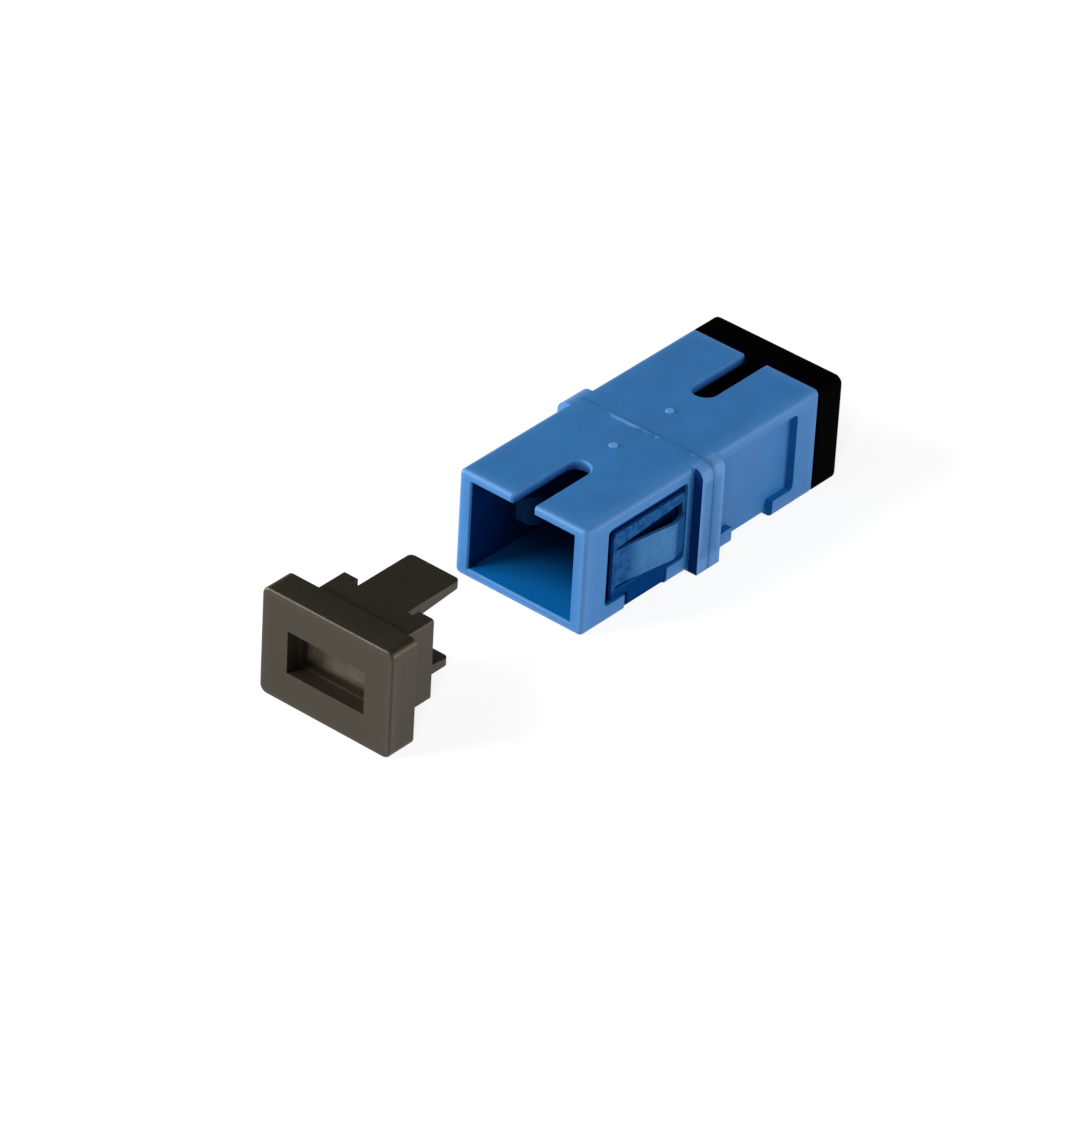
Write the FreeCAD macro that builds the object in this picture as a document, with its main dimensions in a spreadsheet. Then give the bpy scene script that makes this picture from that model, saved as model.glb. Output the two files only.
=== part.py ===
"""SC simplex fibre adapter with its panel clip and two dust plugs.

Frame: the origin is on the optical axis at the weld plane, where two ferrules meet inside the
split sleeve. +Z is up, X is the width, and the front port faces -Y. All lengths are millimetres.
The two halves of the adapter are one moulding used twice, the second turned half round about Z.
"""
import FreeCAD, Part
import math
import os
import Sketcher

DOC = FreeCAD.newDocument("sc_fibre_adapter")
Z_AXIS = FreeCAD.Vector(0, 0, 1)
HALF_TURN = 180

# alias, value in millimetres, what it is
SIZES = [
    ("housing_width", 12.7, "housing across, without the flange"),
    ("housing_height", 9.5, "housing from its bottom to its top"),
    ("half_length", 13.9, "end face to weld plane"),
    ("side_wall", 1.32, "port side wall"),
    ("cover_wall", 0.85, "port top and bottom wall"),
    ("housing_edge", 0.5, "round on the long outer edges"),
    ("rim_edge", 0.36, "round on the outer edge of the end face"),
    ("port_lead", 0.16, "bevel on the inner edge of the port"),
    ("weld_groove", 0.05, "bevel where the two halves meet"),
    ("flange_reach", 0.9, "how far the flange stands out of each side"),
    ("flange_half", 1.35, "flange thickness on one half"),
    ("flange_round", 0.95, "round on the upper corners of the flange"),
    ("key_width", 2.1, "key slot across"),
    ("key_length", 7.3, "key slot from the end face to its round end"),
    ("key_bevel", 0.16, "bevel round the edge of the key slot"),
    ("pip_radius", 0.36, "moulding pip on the top"),
    ("pip_height", 0.08, "how far the pip stands up"),
    ("pip_place", 3.35, "pip from the weld plane"),
    ("seat_wall_side", 0.8, "wall left beside the latch plate"),
    ("seat_wall_cover", 0.6, "wall left above and below the latch plate"),
    ("fit_gap", 0.05, "clearance round a piece held in a seat"),
    ("recess_start", 2.6, "clip recess from the end face"),
    ("recess_post", 0.6, "post left between the recess and the flange"),
    ("recess_depth", 0.65, "clip recess into the side"),
    ("recess_round", 0.45, "round on the corners of the clip recess"),
    ("recess_ledge", 1.5, "ledge left under the clip recess"),
    ("recess_head", 1.05, "wall face left above the clip recess"),
    ("strap_start", 5.0, "strap channel from the end face"),
    ("strap_width", 5.0, "strap channel along the housing"),
    ("strap_depth", 0.4, "strap channel into the bottom"),
    ("plate_thickness", 1.2, "latch plate"),
    ("plate_corner", 0.4, "round on the corners of the latch plate"),
    ("holder_radius", 2.35, "outside of the sleeve holder"),
    ("holder_lip", 0.9, "lip that keeps the sleeve in"),
    ("lip_gap", 0.2, "lip bore over the sleeve bore, on the radius"),
    ("lead_in", 0.4, "cone at the mouth of the sleeve holder"),
    ("arm_inner", 3.25, "inner face of a latch arm from the axis"),
    ("arm_thickness", 0.9, "latch arm across"),
    ("arm_height", 2.5, "latch arm up and down"),
    ("hook_depth", 4.35, "end face to the tip of a latch arm"),
    ("hook_rise", 0.7, "hook nose in from the arm"),
    ("hook_ramp", 1.1, "ramp on the tip side of the nose"),
    ("hook_flat", 0.45, "crest of the nose"),
    ("hook_back", 0.45, "catch face of the nose along the arm"),
    ("arm_tip_round", 0.5, "round on the upper and lower corner of the arm tip"),
    ("sleeve_bore", 1.25, "radius of the bore that holds the ferrules"),
    ("sleeve_wall", 0.35, "split sleeve wall"),
    ("sleeve_length", 11.4, "split sleeve"),
    ("sleeve_slit", 0.4, "slit along the sleeve"),
    ("clip_sheet", 0.3, "spring sheet"),
    ("clip_inset", 0.1, "face of the clip plate below the side of the housing"),
    ("clip_gap", 0.12, "clearance of the clip at the flange end and below"),
    ("plate_margin", 0.8, "groove left in front of the clip plate and above it"),
    ("strap_margin", 0.45, "groove left in front of the strap"),
    ("strap_bend", 0.5, "outer round where the strap turns under"),
    ("clip_corner", 0.35, "round on the corners of the clip plate"),
    ("tongue_height", 3.25, "spring tongue up and down"),
    ("tongue_drop", 0.375, "middle of the tongue below the axis"),
    ("tongue_root", 0.45, "clip plate left in front of the tongue"),
    ("tongue_flat", 0.9, "straight foot of the tongue"),
    ("tongue_rise", 0.8, "how far the tongue springs out"),
    ("tongue_return", 1.6, "turned-in end of the tongue"),
    ("tongue_tuck", 0.4, "how far the turned-in end goes back"),
    ("panel_gap", 1.15, "room for the panel between tongue and flange"),
    ("slit_width", 0.28, "lancing slit beside the tongue"),
    ("slit_flare", 0.55, "widening of the upper slit towards the flange"),
    ("cap_width", 12.9, "dust plug plate across"),
    ("cap_height", 9.5, "dust plug plate up and down"),
    ("cap_thickness", 2.7, "dust plug plate"),
    ("cap_corner", 0.7, "round on the corners of the plate"),
    ("cap_edge", 0.22, "round on the edges of the plate"),
    ("block_play_side", 0.53, "port to dust plug block on each side"),
    ("block_play_cover", 0.3, "port to dust plug block above and below"),
    ("block_depth", 4.1, "dust plug block into the port"),
    ("block_edge", 0.25, "round on the long edges of the block"),
    ("blade_width", 4.9, "plug blade across"),
    ("upper_blade", 5.3, "upper blade behind the block"),
    ("lower_blade", 4.4, "lower blade behind the block"),
    ("blade_root", 1.1, "blade thickness at the block"),
    ("blade_tip", 0.65, "blade thickness at its end"),
    ("blade_corner", 0.45, "round on the corners of a blade end"),
    ("relief_width", 0.55, "notch beside the root of the upper blade"),
    ("relief_depth", 0.7, "notch into the block along the plug"),
    ("pocket_width", 7.6, "grip pocket across"),
    ("pocket_height", 3.7, "grip pocket up and down"),
    ("pocket_front", 1.35, "grip pocket down to its ledge"),
    ("pocket_back", 1.35, "grip pocket behind its ledge"),
    ("pocket_ledge", 0.18, "ledge inside the grip pocket"),
    ("stand_off", 19.3, "front plug taken off, its plate to the end face"),
]


class Size:
    """A length that carries its value and the spreadsheet expression that gives it."""

    def __init__(self, text, value):
        self.text = text
        self.value = value

    def _join(self, other, sign, value):
        return Size("(%s %s %s)" % (self.text, sign, as_size(other).text), value)

    def __add__(self, other):
        return self._join(other, "+", self.value + as_size(other).value)

    def __sub__(self, other):
        return self._join(other, "-", self.value - as_size(other).value)

    def __mul__(self, other):
        return self._join(other, "*", self.value * as_size(other).value)

    def __truediv__(self, other):
        return self._join(other, "/", self.value / as_size(other).value)

    def __neg__(self):
        return Size("(0 - %s)" % self.text, -self.value)


def as_size(number):
    """A plain number as a Size; a Size stays as it is."""
    if isinstance(number, Size):
        return number
    return Size(repr(float(number)), float(number))


def make_sheet():
    """Spreadsheet with one aliased cell for each driving dimension."""
    sheet = DOC.addObject("Spreadsheet::Sheet", "sizes")
    for row, (alias, value, note) in enumerate(SIZES, start=1):
        sheet.set("A%d" % row, note)
        sheet.set("B%d" % row, str(value))
        sheet.setAlias("B%d" % row, alias)
    DOC.recompute()
    return {alias: Size("sizes." + alias, value) for alias, value, _ in SIZES}


S = make_sheet()
ZERO = as_size(0)


def bind(item, prop, size):
    """Ties a property of a feature to the spreadsheet."""
    item.setExpression(prop, as_size(size).text)


def make_body(label):
    """Empty body whose label is the name of the piece."""
    body = DOC.addObject("PartDesign::Body", label)
    body.Label = label
    return body


def new_sketch(body, name, role, offset=ZERO):
    """Sketch on one of the body's own origin planes, moved along the plane's normal."""
    sketch = body.newObject("Sketcher::SketchObject", name)
    plane = [item for item in body.Origin.OriginFeatures if item.Role == role][0]
    sketch.AttachmentSupport = (plane, "")
    sketch.MapMode = "FlatFace"
    bind(sketch, ".AttachmentOffset.Base.z", offset)
    return sketch


def fix_point(sketch, index, end, place):
    """Holds one end of a sketch element at a place given by two sizes."""
    for kind, size in (("DistanceX", place[0]), ("DistanceY", place[1])):
        number = sketch.addConstraint(Sketcher.Constraint(kind, -1, 1, index, end, size.value))
        bind(sketch, "Constraints[%d]" % number, size)


def add_outline(sketch, points):
    """Closed outline of straight lines through points given as pairs of sizes."""
    places = [(as_size(across), as_size(along)) for across, along in points]
    spots = [FreeCAD.Vector(across.value, along.value, 0) for across, along in places]
    first = sketch.GeometryCount
    count = len(spots)
    for number in range(count):
        line = Part.LineSegment(spots[number], spots[(number + 1) % count])
        sketch.addGeometry(line, False)
    for number in range(count):
        following = first + (number + 1) % count
        sketch.addConstraint(Sketcher.Constraint("Coincident", first + number, 2, following, 1))
        fix_point(sketch, first + number, 1, places[number])


def add_rectangle(sketch, low, high):
    """Rectangle between two opposite corners."""
    add_outline(sketch, [low, (high[0], low[1]), high, (low[0], high[1])])


def add_centred_rectangle(sketch, width, height):
    """Rectangle centred on the axis of the adapter."""
    add_rectangle(sketch, (-width / 2, -height / 2), (width / 2, height / 2))


def add_circle(sketch, centre, radius):
    """Circle with its centre and radius bound to sizes."""
    place = (as_size(centre[0]), as_size(centre[1]))
    spot = FreeCAD.Vector(place[0].value, place[1].value, 0)
    index = sketch.addGeometry(Part.Circle(spot, FreeCAD.Vector(0, 0, 1), radius.value), False)
    fix_point(sketch, index, 3, place)
    number = sketch.addConstraint(Sketcher.Constraint("Radius", index, radius.value))
    bind(sketch, "Constraints[%d]" % number, radius)


def pad(body, sketch, name, length, reverse=False, middle=False):
    """Adds material from a sketch and checks that the body grew."""
    DOC.recompute()
    before = body.Shape.Volume if body.Tip else 0.0
    feature = body.newObject("PartDesign::Pad", name)
    feature.Profile = sketch
    feature.Reversed = reverse
    if middle:
        feature.SideType = "Symmetric"
    bind(feature, "Length", length)
    DOC.recompute()
    if body.Shape.Volume <= before:
        raise RuntimeError("%s added nothing" % name)
    return feature


def pocket(body, sketch, name, depth, reverse=False):
    """Removes material from a sketch and checks that the body shrank."""
    DOC.recompute()
    before = body.Shape.Volume
    feature = body.newObject("PartDesign::Pocket", name)
    feature.Profile = sketch
    feature.Reversed = reverse
    bind(feature, "Length", depth)
    DOC.recompute()
    if body.Shape.Volume >= before:
        raise RuntimeError("%s removed nothing" % name)
    return feature


def revolve(body, sketch, name, axis):
    """Turns a sketch right round one of its own axes."""
    feature = body.newObject("PartDesign::Revolution", name)
    feature.Profile = sketch
    feature.ReferenceAxis = (sketch, [axis])
    feature.Angle = 360.0
    DOC.recompute()
    return feature


def edge_names(body, wanted):
    """Names of the body's edges for which the test on an edge holds."""
    DOC.recompute()
    return ["Edge%d" % number for number, edge in enumerate(body.Shape.Edges, start=1) if wanted(edge)]


def soften(body, name, size, wanted, kind="Fillet"):
    """Fillet or chamfer on the edges chosen by a test."""
    names = edge_names(body, wanted)
    if not names:
        raise RuntimeError("%s found no edge" % name)
    softened = body.Tip
    feature = body.newObject("PartDesign::" + kind, name)
    feature.Base = (softened, names)
    bind(feature, "Radius" if kind == "Fillet" else "Size", size)
    DOC.recompute()
    return feature


def same(first, second):
    """True where two lengths are equal to within a micrometre."""
    return abs(first - second) < 1e-3


def runs_along(edge, axis):
    """True for a straight edge along the axis numbered 0, 1 or 2."""
    if edge.Curve.TypeId != "Part::GeomLine":
        return False
    step = edge.Vertexes[-1].Point - edge.Vertexes[0].Point
    return same(abs(step[axis]), edge.Length)


def lies_at(edge, axis, place):
    """True where the whole edge lies in the plane at that place on the axis."""
    box = edge.BoundBox
    low = (box.XMin, box.YMin, box.ZMin)[axis]
    high = (box.XMax, box.YMax, box.ZMax)[axis]
    return same(low, place.value) and same(high, place.value)


# ---------------------------------------------------------------- housing half

HALF_WIDTH = S["housing_width"] / 2
HALF_HEIGHT = S["housing_height"] / 2
END = -S["half_length"]
PORT_WIDTH = S["housing_width"] - S["side_wall"] * 2
PORT_HEIGHT = S["housing_height"] - S["cover_wall"] * 2
SEAT_WIDTH = S["housing_width"] - S["seat_wall_side"] * 2
SEAT_HEIGHT = S["housing_height"] - S["seat_wall_cover"] * 2
RECESS_FAR = -S["flange_half"] - S["recess_post"]
RECESS_NEAR = END + S["recess_start"]
RECESS_LOW = S["recess_ledge"] - HALF_HEIGHT
RECESS_HIGH = HALF_HEIGHT - S["recess_head"]
STRAP_NEAR = END + S["strap_start"]
STRAP_FAR = STRAP_NEAR + S["strap_width"]


def housing_shell(body):
    """Rectangular tube with softened outer edges and its half of the flange."""
    outline = new_sketch(body, "shell_outline", "XZ_Plane")
    add_centred_rectangle(outline, S["housing_width"], S["housing_height"])
    pad(body, outline, "shell", S["half_length"])
    soften(body, "long_edges", S["housing_edge"], lambda edge: runs_along(edge, 1))
    soften(body, "rim_edges", S["rim_edge"], lambda edge: lies_at(edge, 1, END))
    flange = new_sketch(body, "flange_outline", "XZ_Plane")
    add_centred_rectangle(flange, S["housing_width"] + S["flange_reach"] * 2, S["housing_height"])
    pad(body, flange, "flange", S["flange_half"])
    reach = (HALF_WIDTH + S["flange_reach"]).value
    soften(body, "flange_shoulders", S["flange_round"],
           lambda edge: runs_along(edge, 1) and same(abs(edge.CenterOfMass.x), reach)
           and same(edge.CenterOfMass.z, HALF_HEIGHT.value))


def housing_port(body):
    """Port right through the half, its lead, and the wider seat for the latch plate."""
    opening = new_sketch(body, "port_outline", "XZ_Plane")
    add_centred_rectangle(opening, PORT_WIDTH, PORT_HEIGHT)
    pocket(body, opening, "port", S["half_length"], reverse=True)
    soften(body, "port_lead", S["port_lead"],
           lambda edge: lies_at(edge, 1, END) and abs(edge.CenterOfMass.x) <= PORT_WIDTH.value / 2 + 1e-3
           and abs(edge.CenterOfMass.z) <= PORT_HEIGHT.value / 2 + 1e-3, kind="Chamfer")
    seat = new_sketch(body, "seat_outline", "XZ_Plane")
    add_centred_rectangle(seat, SEAT_WIDTH, SEAT_HEIGHT)
    pocket(body, seat, "plate_seat", S["plate_thickness"], reverse=True)


def add_key_outline(sketch):
    """Slot open at the end face, with a half-round inner end."""
    radius = S["key_width"] / 2
    middle = END + S["key_length"] - radius
    turn = FreeCAD.Vector(0, middle.value, 0)
    arc = Part.ArcOfCircle(Part.Circle(turn, FreeCAD.Vector(0, 0, 1), radius.value), 0, math.pi)
    corners = [(-radius, middle), (-radius, END), (radius, END), (radius, middle)]
    spots = [FreeCAD.Vector(across.value, along.value, 0) for across, along in corners]
    sketch.addGeometry(arc, False)
    for first, second in zip(spots, spots[1:]):
        sketch.addGeometry(Part.LineSegment(first, second), False)
    for element, following in ((0, 1), (1, 2), (2, 3), (3, 0)):
        sketch.addConstraint(Sketcher.Constraint("Coincident", element, 2, following, 1))
    for number, corner in enumerate(corners[:3], start=1):
        fix_point(sketch, number, 1, corner)
    fix_point(sketch, 3, 2, corners[3])
    number = sketch.addConstraint(Sketcher.Constraint("DistanceY", -1, 1, 0, 3, middle.value))
    bind(sketch, "Constraints[%d]" % number, middle)


def housing_top(body):
    """Key slot in the top wall with its bevel, and the moulding pip."""
    key = new_sketch(body, "key_outline", "XY_Plane", HALF_HEIGHT)
    add_key_outline(key)
    pocket(body, key, "key_slot", S["cover_wall"])
    side = S["key_width"].value / 2
    soften(body, "key_bevel", S["key_bevel"],
           lambda edge: lies_at(edge, 2, HALF_HEIGHT) and (edge.Curve.TypeId == "Part::GeomCircle"
           or runs_along(edge, 1) and same(abs(edge.CenterOfMass.x), side)), kind="Chamfer")
    pip = new_sketch(body, "pip_outline", "XY_Plane", HALF_HEIGHT)
    add_circle(pip, (ZERO, -S["pip_place"]), S["pip_radius"])
    pad(body, pip, "pip", S["pip_height"])
    soften(body, "pip_edge", S["pip_height"] / 2,
           lambda edge: lies_at(edge, 2, HALF_HEIGHT + S["pip_height"]), kind="Chamfer")
    soften(body, "weld_groove", S["weld_groove"],
           lambda edge: runs_along(edge, 0) and lies_at(edge, 1, ZERO) and lies_at(edge, 2, HALF_HEIGHT),
           kind="Chamfer")


def housing_clip_recess(body):
    """Recess for the clip plate on both sides, open downwards where the strap passes under."""
    outline = [(RECESS_NEAR, RECESS_LOW), (STRAP_NEAR, RECESS_LOW), (STRAP_NEAR, -HALF_HEIGHT),
               (STRAP_FAR, -HALF_HEIGHT), (STRAP_FAR, RECESS_LOW), (RECESS_FAR, RECESS_LOW),
               (RECESS_FAR, RECESS_HIGH), (RECESS_NEAR, RECESS_HIGH)]
    for side, name in ((1, "right"), (-1, "left")):
        recess = new_sketch(body, name + "_recess_outline", "YZ_Plane", HALF_WIDTH * side)
        add_outline(recess, outline)
        pocket(body, recess, name + "_recess", S["recess_depth"], reverse=side < 0)
    soften(body, "recess_corners", S["recess_round"],
           lambda edge: runs_along(edge, 0) and (lies_at(edge, 1, RECESS_NEAR) or lies_at(edge, 1, RECESS_FAR))
           and (lies_at(edge, 2, RECESS_LOW) or lies_at(edge, 2, RECESS_HIGH)))
    channel = new_sketch(body, "strap_outline", "XY_Plane", -HALF_HEIGHT)
    add_rectangle(channel, (-HALF_WIDTH, STRAP_NEAR), (HALF_WIDTH, STRAP_FAR))
    pocket(body, channel, "strap_channel", S["strap_depth"], reverse=True)


def make_housing(label, turn):
    """One welded half of the housing."""
    body = make_body(label)
    housing_shell(body)
    housing_port(body)
    housing_top(body)
    housing_clip_recess(body)
    place(body, turn, ZERO)
    return body


# ---------------------------------------------------------------- latch insert and sleeve

SLEEVE_RADIUS = S["sleeve_bore"] + S["sleeve_wall"]
SOCKET_RADIUS = SLEEVE_RADIUS + S["fit_gap"]
LIP_RADIUS = S["sleeve_bore"] + S["lip_gap"]
SOCKET_DEPTH = S["sleeve_length"] / 2 + S["fit_gap"]
HOLDER_LENGTH = SOCKET_DEPTH + S["holder_lip"]
ARM_TIP = END + S["hook_depth"]
ARM_OUTER = S["arm_inner"] + S["arm_thickness"]
NOSE = S["arm_inner"] - S["hook_rise"]


def insert_plate(body):
    """Plate clamped between the two halves, with the hole that the sleeve passes through."""
    outline = new_sketch(body, "plate_outline", "XZ_Plane")
    add_centred_rectangle(outline, SEAT_WIDTH - S["fit_gap"] * 2, SEAT_HEIGHT - S["fit_gap"] * 2)
    pad(body, outline, "plate", S["plate_thickness"])
    soften(body, "plate_corners", S["plate_corner"], lambda edge: runs_along(edge, 1))
    hole = new_sketch(body, "plate_hole", "XZ_Plane")
    add_circle(hole, (ZERO, ZERO), SOCKET_RADIUS)
    pocket(body, hole, "sleeve_hole", S["plate_thickness"], reverse=True)


def insert_holder(body):
    """Turned-form tube that keeps half of the split sleeve behind a lip."""
    mouth = -HOLDER_LENGTH
    profile = new_sketch(body, "holder_profile", "YZ_Plane")
    add_outline(profile, [(ZERO, SOCKET_RADIUS), (-SOCKET_DEPTH, SOCKET_RADIUS), (-SOCKET_DEPTH, LIP_RADIUS),
                          (mouth + S["lead_in"], LIP_RADIUS), (mouth, LIP_RADIUS + S["lead_in"]),
                          (mouth, S["holder_radius"]), (ZERO, S["holder_radius"])])
    revolve(body, profile, "holder", "H_Axis")


def insert_arms(body):
    """Two sprung arms whose noses catch a plug from both sides."""
    catch = ARM_TIP + S["hook_ramp"] + S["hook_flat"]
    inner = [(S["arm_inner"], -S["plate_thickness"] / 2), (S["arm_inner"], catch + S["hook_back"]),
             (NOSE, catch), (NOSE, ARM_TIP + S["hook_ramp"]), (S["arm_inner"] + S["fit_gap"] * 2, ARM_TIP),
             (ARM_OUTER, ARM_TIP), (ARM_OUTER, -S["plate_thickness"] / 2)]
    for side, name in ((1, "right"), (-1, "left")):
        outline = new_sketch(body, name + "_arm_outline", "XY_Plane")
        add_outline(outline, [(across * side, along) for across, along in inner])
        pad(body, outline, name + "_arm", S["arm_height"], middle=True)
    soften(body, "arm_tips", S["arm_tip_round"],
           lambda edge: runs_along(edge, 0) and lies_at(edge, 1, ARM_TIP))


def make_insert(label, turn):
    """Latch plate, arms and sleeve holder moulded in one piece."""
    body = make_body(label)
    insert_plate(body)
    insert_holder(body)
    insert_arms(body)
    place(body, turn, ZERO)
    return body


def make_sleeve(label):
    """Split alignment sleeve across the weld plane."""
    body = make_body(label)
    ring = new_sketch(body, "sleeve_ring", "XZ_Plane")
    add_circle(ring, (ZERO, ZERO), SLEEVE_RADIUS)
    add_circle(ring, (ZERO, ZERO), S["sleeve_bore"])
    pad(body, ring, "sleeve", S["sleeve_length"], middle=True)
    slit = new_sketch(body, "slit_outline", "XY_Plane", SLEEVE_RADIUS)
    half = S["sleeve_length"] / 2
    add_rectangle(slit, (-S["sleeve_slit"] / 2, -half), (S["sleeve_slit"] / 2, half))
    pocket(body, slit, "slit", SLEEVE_RADIUS)
    place(body, 0, ZERO)
    return body


# ---------------------------------------------------------------- panel clip

SHEET_OUTER = HALF_WIDTH - S["clip_inset"]
SHEET_INNER = SHEET_OUTER - S["clip_sheet"]
STRAP_ROOF = S["strap_depth"] - HALF_HEIGHT
PLATE_NEAR = RECESS_NEAR + S["plate_margin"]
PLATE_FAR = RECESS_FAR - S["clip_gap"]
PLATE_LOW = RECESS_LOW + S["clip_gap"]
PLATE_HIGH = RECESS_HIGH - S["plate_margin"]
TONGUE_ROOT = PLATE_NEAR + S["tongue_root"]
TONGUE_END = -S["flange_half"] - S["panel_gap"]
TONGUE_LOW = -S["tongue_height"] / 2 - S["tongue_drop"]
TONGUE_HIGH = S["tongue_height"] / 2 - S["tongue_drop"]


def clip_strap(body):
    """U of sheet that passes under the housing and up into both recesses."""
    strap = new_sketch(body, "strap_profile", "XZ_Plane", -(STRAP_FAR - S["clip_gap"]))
    floor = STRAP_ROOF - S["clip_sheet"]
    add_outline(strap, [(-SHEET_OUTER, floor), (SHEET_OUTER, floor), (SHEET_OUTER, PLATE_HIGH),
                        (SHEET_INNER, PLATE_HIGH), (SHEET_INNER, STRAP_ROOF), (-SHEET_INNER, STRAP_ROOF),
                        (-SHEET_INNER, PLATE_HIGH), (-SHEET_OUTER, PLATE_HIGH)])
    pad(body, strap, "strap", S["strap_width"] - S["clip_gap"] - S["strap_margin"])
    soften(body, "strap_bends", S["strap_bend"],
           lambda edge: runs_along(edge, 1) and same(edge.CenterOfMass.z, floor.value)
           and same(abs(edge.CenterOfMass.x), SHEET_OUTER.value))


def clip_plate(body, side, name):
    """Flat plate of one side with the lanced window that the tongue springs out of."""
    base = SHEET_INNER * side
    outline = new_sketch(body, name + "_plate_outline", "YZ_Plane", base)
    add_rectangle(outline, (PLATE_NEAR, PLATE_LOW), (PLATE_FAR, PLATE_HIGH))
    pad(body, outline, name + "_plate", S["clip_sheet"], reverse=side < 0)
    window = new_sketch(body, name + "_window_outline", "YZ_Plane", base)
    window_low = TONGUE_LOW - S["slit_width"]
    window_high = TONGUE_HIGH + S["slit_width"]
    window_far = PLATE_FAR - S["slit_width"]
    add_outline(window, [(TONGUE_ROOT, window_low), (window_far, window_low),
                         (window_far, window_high + S["slit_flare"]), (TONGUE_ROOT, window_high)])
    pocket(body, window, name + "_window", S["clip_sheet"], reverse=side > 0)


def clip_tongue(body, side, name):
    """Spring tongue: a straight foot, a slope outwards and a turned-in end."""
    foot = TONGUE_ROOT + S["tongue_flat"]
    crest = TONGUE_END - S["tongue_return"]
    peak = SHEET_OUTER + S["tongue_rise"]
    inside = peak - S["clip_sheet"]
    outline = [(SHEET_INNER, TONGUE_ROOT - S["tongue_root"] / 2), (SHEET_INNER, foot), (inside, crest),
               (inside - S["tongue_tuck"], TONGUE_END), (peak - S["tongue_tuck"], TONGUE_END),
               (peak, crest), (SHEET_OUTER, foot), (SHEET_OUTER, TONGUE_ROOT - S["tongue_root"] / 2)]
    sketch = new_sketch(body, name + "_tongue_outline", "XY_Plane", TONGUE_LOW)
    add_outline(sketch, [(across * side, along) for across, along in outline])
    pad(body, sketch, name + "_tongue", S["tongue_height"])


def make_clip(label):
    """Panel clip bent from one strip of sheet."""
    body = make_body(label)
    clip_strap(body)
    for side, name in ((1, "right"), (-1, "left")):
        clip_plate(body, side, name)
        clip_tongue(body, side, name)
    soften(body, "plate_corners", S["clip_corner"],
           lambda edge: runs_along(edge, 0) and (lies_at(edge, 2, PLATE_LOW) or lies_at(edge, 2, PLATE_HIGH))
           and (lies_at(edge, 1, PLATE_NEAR) or lies_at(edge, 1, PLATE_FAR)))
    place(body, 0, ZERO)
    return body


# ---------------------------------------------------------------- dust plugs

BLOCK_WIDTH = PORT_WIDTH - S["block_play_side"] * 2
BLOCK_HEIGHT = PORT_HEIGHT - S["block_play_cover"] * 2


def plug_plate(body):
    """Cover plate with round corners; its seat face is in the plane y = 0 of the plug."""
    outline = new_sketch(body, "cover_outline", "XZ_Plane")
    add_centred_rectangle(outline, S["cap_width"], S["cap_height"])
    pad(body, outline, "cover", S["cap_thickness"])
    soften(body, "cover_corners", S["cap_corner"], lambda edge: runs_along(edge, 1))
    soften(body, "cover_edges", S["cap_edge"], lambda edge: lies_at(edge, 1, -S["cap_thickness"]))


def plug_block(body):
    """Block that fills the mouth of the port, with notches beside the upper blade."""
    outline = new_sketch(body, "block_outline", "XZ_Plane")
    add_centred_rectangle(outline, BLOCK_WIDTH, BLOCK_HEIGHT)
    pad(body, outline, "block", S["block_depth"], reverse=True)
    half = BLOCK_WIDTH.value / 2
    soften(body, "block_edges", S["block_edge"],
           lambda edge: runs_along(edge, 1) and same(abs(edge.CenterOfMass.x), half))
    notch = new_sketch(body, "relief_outline", "XY_Plane", BLOCK_HEIGHT / 2)
    inner = S["blade_width"] / 2
    outer = inner + S["relief_width"]
    for side in (1, -1):
        add_rectangle(notch, (inner * side, S["block_depth"] - S["relief_depth"]),
                      (outer * side, S["block_depth"]))
    pocket(body, notch, "relief", S["blade_root"])


def plug_blade(body, name, side, length):
    """Tapered blade flush with the top (side 1) or the bottom (side -1) of the block."""
    outer = BLOCK_HEIGHT / 2 * side
    root = S["block_depth"] - S["relief_depth"]
    tip = S["block_depth"] + length
    profile = new_sketch(body, name + "_profile", "YZ_Plane")
    add_outline(profile, [(root, outer), (tip, outer), (tip, outer - S["blade_tip"] * side),
                          (S["block_depth"], outer - S["blade_root"] * side),
                          (root, outer - S["blade_root"] * side)])
    pad(body, profile, name, S["blade_width"], middle=True)
    soften(body, name + "_corners", S["blade_corner"],
           lambda edge: runs_along(edge, 2) and lies_at(edge, 1, tip))


def plug_grip(body):
    """Grip pocket in the plate, stepped by a narrow ledge."""
    front = new_sketch(body, "grip_outline", "XZ_Plane", S["cap_thickness"])
    add_centred_rectangle(front, S["pocket_width"], S["pocket_height"])
    pocket(body, front, "grip_front", S["pocket_front"])
    back = new_sketch(body, "grip_floor_outline", "XZ_Plane", S["cap_thickness"] - S["pocket_front"])
    add_centred_rectangle(back, S["pocket_width"] - S["pocket_ledge"] * 2,
                          S["pocket_height"] - S["pocket_ledge"] * 2)
    pocket(body, back, "grip_back", S["pocket_back"])


def make_plug(label, turn, shift):
    """Dust plug moulded in one piece."""
    body = make_body(label)
    plug_plate(body)
    plug_block(body)
    plug_blade(body, "upper_blade", 1, S["upper_blade"])
    plug_blade(body, "lower_blade", -1, S["lower_blade"])
    plug_grip(body)
    place(body, turn, shift)
    return body


# ---------------------------------------------------------------- the whole adapter

def place(body, turn, shift):
    """Turns a body about Z and moves it along the optical axis."""
    body.Placement = FreeCAD.Placement(FreeCAD.Vector(0, 0, 0), FreeCAD.Rotation(Z_AXIS, turn))
    bind(body, ".Placement.Base.y", shift)


def build_all():
    """Every piece of the adapter at rest: the rear plug fitted, the front plug taken off."""
    return [
        make_housing("front_housing", 0),
        make_housing("rear_housing", HALF_TURN),
        make_insert("front_latch_insert", 0),
        make_insert("rear_latch_insert", HALF_TURN),
        make_sleeve("split_sleeve"),
        make_clip("panel_clip"),
        make_plug("front_dust_plug", 0, END - S["stand_off"]),
        make_plug("rear_dust_plug", HALF_TURN, S["half_length"]),
    ]


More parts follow.
